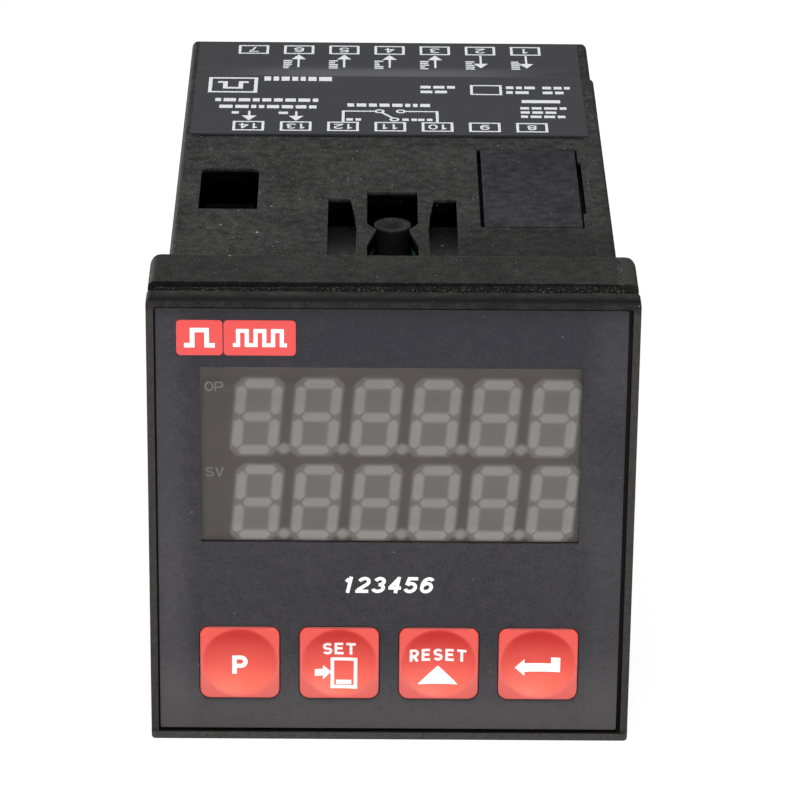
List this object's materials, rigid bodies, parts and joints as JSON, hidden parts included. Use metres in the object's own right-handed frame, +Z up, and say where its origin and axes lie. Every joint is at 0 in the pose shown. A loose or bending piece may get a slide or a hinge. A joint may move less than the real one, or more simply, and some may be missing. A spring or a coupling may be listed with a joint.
{
  "type": "panel counter",
  "caption": "Square panel-mount counter with rows of digits behind a smoked window, sprung front keys, a plug-in case and rear screw terminals.",
  "frame": {"origin": "centre of the collar's rear face, which seats on the panel", "axes": "+X right seen from the front, +Y from the front towards the rear, +Z up"},
  "size_m": [0.048, 0.079, 0.048],
  "materials": {
    "case_plastic": "fine matte grain, near black grey",
    "seal_foam": "open foam, grainy edge",
    "film": "smooth matte film, printed dark grey",
    "badge_print": "plain red print under matte film",
    "window_smoke": "smoked clear plastic, flush and slightly glossy",
    "display_body": "warm grey moulding",
    "segment": "milky light-diffusing resin",
    "led": "clear yellow lens",
    "board": "green solder mask",
    "key_cap": "smooth light red with a satin dish",
    "legend_white": "opaque white print",
    "plunger_white": "ivory plastic",
    "black_moulding": "black moulded plastic",
    "tinned_metal": "bright tinned surface",
    "label_foil": "dark grey foil label with a slight crease",
    "core_steel": "varnished steel laminations",
    "coil_tape": "yellow insulating tape",
    "capacitor_sleeve": "shrunk plastic sleeve",
    "varistor_blue": "blue epoxy coat",
    "resistor_body": "tan coated body"
  },
  "bodies": {
    "housing": {"front_frame": "case_plastic", "case": "case_plastic", "terminal_block": "case_plastic", "access_cover": "case_plastic", "chassis": "case_plastic", "front_seal": "seal_foam", "front_film": "film", "film_badge": "badge_print", "display_window": "window_smoke", "upper_display": "display_body", "lower_display": "display_body", "light_guide": "display_body", "upper_segments": "segment", "lower_segments": "segment", "indicator_leds": "led", "display_board": "board", "upper_board": "board", "lower_board": "board", "label_print": "legend_white", "switch_p": "black_moulding", "switch_set": "black_moulding", "switch_reset": "black_moulding", "switch_enter": "black_moulding", "relay": "black_moulding", "rectifier": "black_moulding", "microcontroller": "black_moulding", "driver_chip": "black_moulding", "memory_chip": "black_moulding", "opto_couplers": "black_moulding", "service_socket": "black_moulding", "jumper_block": "black_moulding", "upper_header": "black_moulding", "lower_header": "black_moulding", "terminal_tails": "tinned_metal", "terminal_clamps": "tinned_metal", "terminal_screws": "tinned_metal", "crystal": "tinned_metal", "rating_label": "label_foil", "transformer_core": "core_steel", "transformer_coil": "coil_tape", "smoothing_capacitor": "capacitor_sleeve", "varistor": "varistor_blue", "inrush_resistor": "resistor_body"},
    "p_key": {"key_p": "key_cap", "legend_p": "legend_white", "plunger_p": "plunger_white"},
    "set_key": {"key_set": "key_cap", "legend_set": "legend_white", "plunger_set": "plunger_white"},
    "reset_key": {"key_reset": "key_cap", "legend_reset": "legend_white", "plunger_reset": "plunger_white"},
    "enter_key": {"key_enter": "key_cap", "legend_enter": "legend_white", "plunger_enter": "plunger_white"}
  },
  "joints": [
    {"name": "p_press", "type": "slide", "parent": "housing", "child": "p_key", "axis": [0, 1, 0], "range_m": [0, 0.0005], "stiffness_N_per_m": 300, "springref_m": -0.001},
    {"name": "set_press", "type": "slide", "parent": "housing", "child": "set_key", "axis": [0, 1, 0], "range_m": [0, 0.0005], "stiffness_N_per_m": 300, "springref_m": -0.001},
    {"name": "reset_press", "type": "slide", "parent": "housing", "child": "reset_key", "axis": [0, 1, 0], "range_m": [0, 0.0005], "stiffness_N_per_m": 300, "springref_m": -0.001},
    {"name": "enter_press", "type": "slide", "parent": "housing", "child": "enter_key", "axis": [0, 1, 0], "range_m": [0, 0.0005], "stiffness_N_per_m": 300, "springref_m": -0.001}
  ]
}
